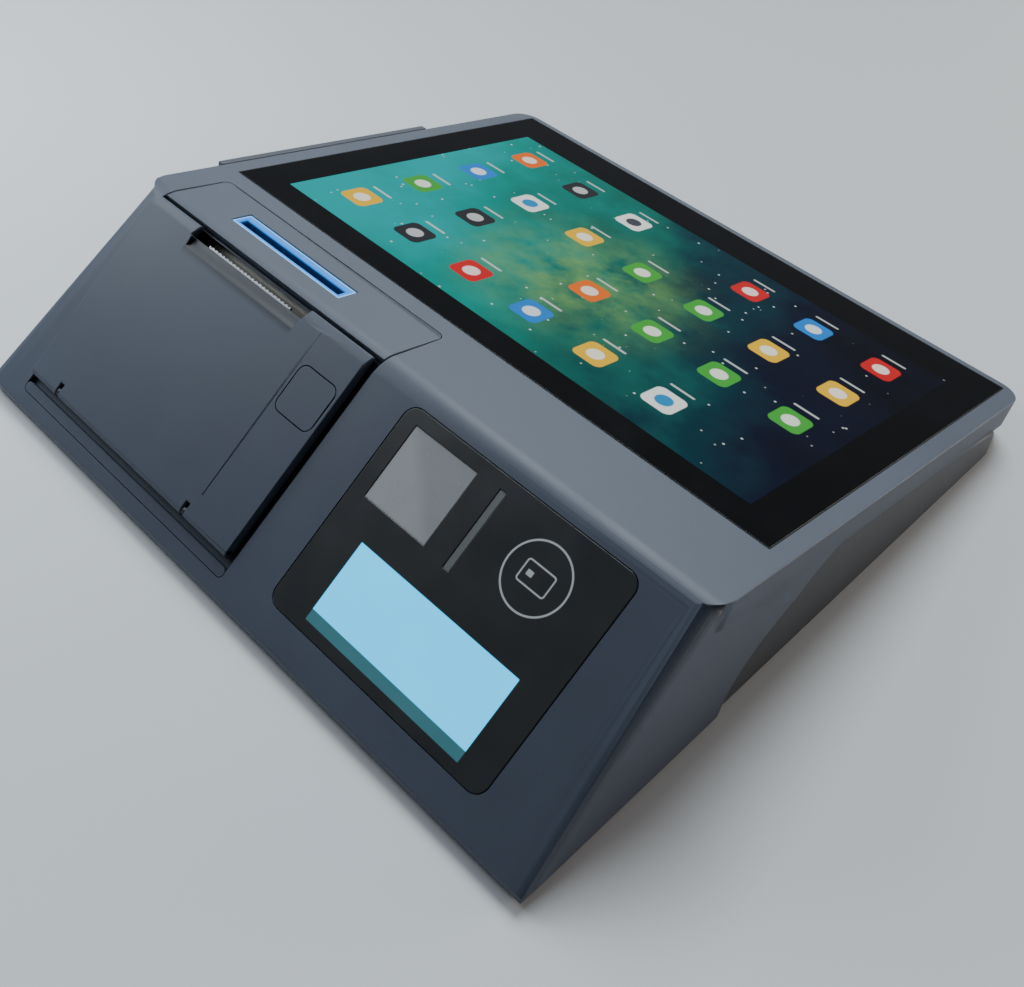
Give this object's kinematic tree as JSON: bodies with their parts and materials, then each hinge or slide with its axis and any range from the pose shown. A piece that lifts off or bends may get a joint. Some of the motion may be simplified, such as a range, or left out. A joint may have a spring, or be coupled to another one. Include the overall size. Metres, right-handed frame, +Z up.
{
  "type": "point of sale terminal",
  "caption": "Low wedge desktop point of sale terminal: sloping touch screen, receipt printer door, scan window, card swipe rail and small customer display.",
  "frame": {"origin": "on the counter, below the centre of the terminal's outline", "axes": "+X along the width, to the right as the customer sees it, +Y towards the operator, +Z up"},
  "size_m": [0.2696, 0.2718, 0.0597],
  "materials": {
    "housing": "fine grain, satin",
    "door": "fine grain, satin",
    "cover": "matte",
    "inner_plastic": "matte",
    "rubber": "matte",
    "steel": "brushed",
    "alloy": "satin",
    "glass": "polished",
    "acrylic": "polished",
    "smoked": "satin",
    "screen": "lit",
    "lit": "lit",
    "board": "solder mask",
    "gear": "moulded",
    "brass": "machined",
    "paper": "matte paper",
    "card": "rolled card",
    "ceramic": "glazed"
  },
  "bodies": {
    "chassis": {"upper_housing": "housing", "bottom_cover": "cover", "rubber_feet": "rubber", "cover_screws": "steel", "touch_glass": "glass", "display_module": "screen", "display_bracket": "steel", "printer_top_cover": "housing", "light_guide": "lit", "light_board": "board", "printer_frame": "inner_plastic", "door_hinge_pins": "steel", "paper_motor": "alloy", "mechanism_frame": "steel", "print_head": "ceramic", "head_heatsink": "alloy", "paper_cradle": "inner_plastic", "customer_window": "acrylic", "scan_window": "smoked", "scanner_module": "inner_plastic", "status_light_bar": "smoked", "customer_display": "screen", "card_tap_antenna": "board", "card_swipe_rail": "housing", "card_read_head": "steel", "main_board": "board", "processor_heatsink": "alloy", "usb_sockets": "steel", "network_socket": "steel", "drawer_socket": "inner_plastic", "power_socket": "inner_plastic", "speaker": "inner_plastic"},
    "printer_door": {"printer_door": "door", "tear_bar": "steel"},
    "platen": {"platen_roller": "rubber", "platen_shaft": "steel", "platen_gear": "gear"},
    "idler": {"idler_gear": "gear"},
    "pinion": {"motor_pinion": "brass"},
    "paper": {"paper_roll": "paper", "paper_core": "card"},
    "release_button": {"release_button": "door"},
    "power_button": {"power_button": "door"}
  },
  "joints": [
    {"name": "door_hinge", "type": "hinge", "parent": "chassis", "child": "printer_door", "pos_m": [-0.0647, -0.12533, 0.01327], "axis": [1, 0, 0], "range_deg": [0, 100]},
    {"name": "platen_spin", "type": "hinge", "parent": "printer_door", "child": "platen", "pos_m": [-0.0647, -0.06838, 0.04768], "axis": [1, 0, 0], "continuous": true},
    {"name": "idler_spin", "type": "hinge", "parent": "chassis", "child": "idler", "pos_m": [-0.0309, -0.05957, 0.03954], "axis": [1, 0, 0], "continuous": true},
    {"name": "pinion_spin", "type": "hinge", "parent": "chassis", "child": "pinion", "pos_m": [-0.0309, -0.05557, 0.02951], "axis": [1, 0, 0], "continuous": true},
    {"name": "paper_spin", "type": "hinge", "parent": "chassis", "child": "paper", "pos_m": [-0.0647, -0.07738, 0.0224], "axis": [1, 0, 0], "continuous": true},
    {"name": "release_press", "type": "slide", "parent": "printer_door", "child": "release_button", "axis": [0, 0.6115, -0.7912], "range_m": [0, 0.0025], "stiffness_N_per_m": 800},
    {"name": "power_press", "type": "slide", "parent": "chassis", "child": "power_button", "axis": [1, 0, 0], "range_m": [0, 0.0015], "stiffness_N_per_m": 800}
  ],
  "couplings": [
    {"joint": "idler_spin", "follows": "platen_spin", "ratio": -0.66667},
    {"joint": "pinion_spin", "follows": "platen_spin", "ratio": 1.3333}
  ]
}
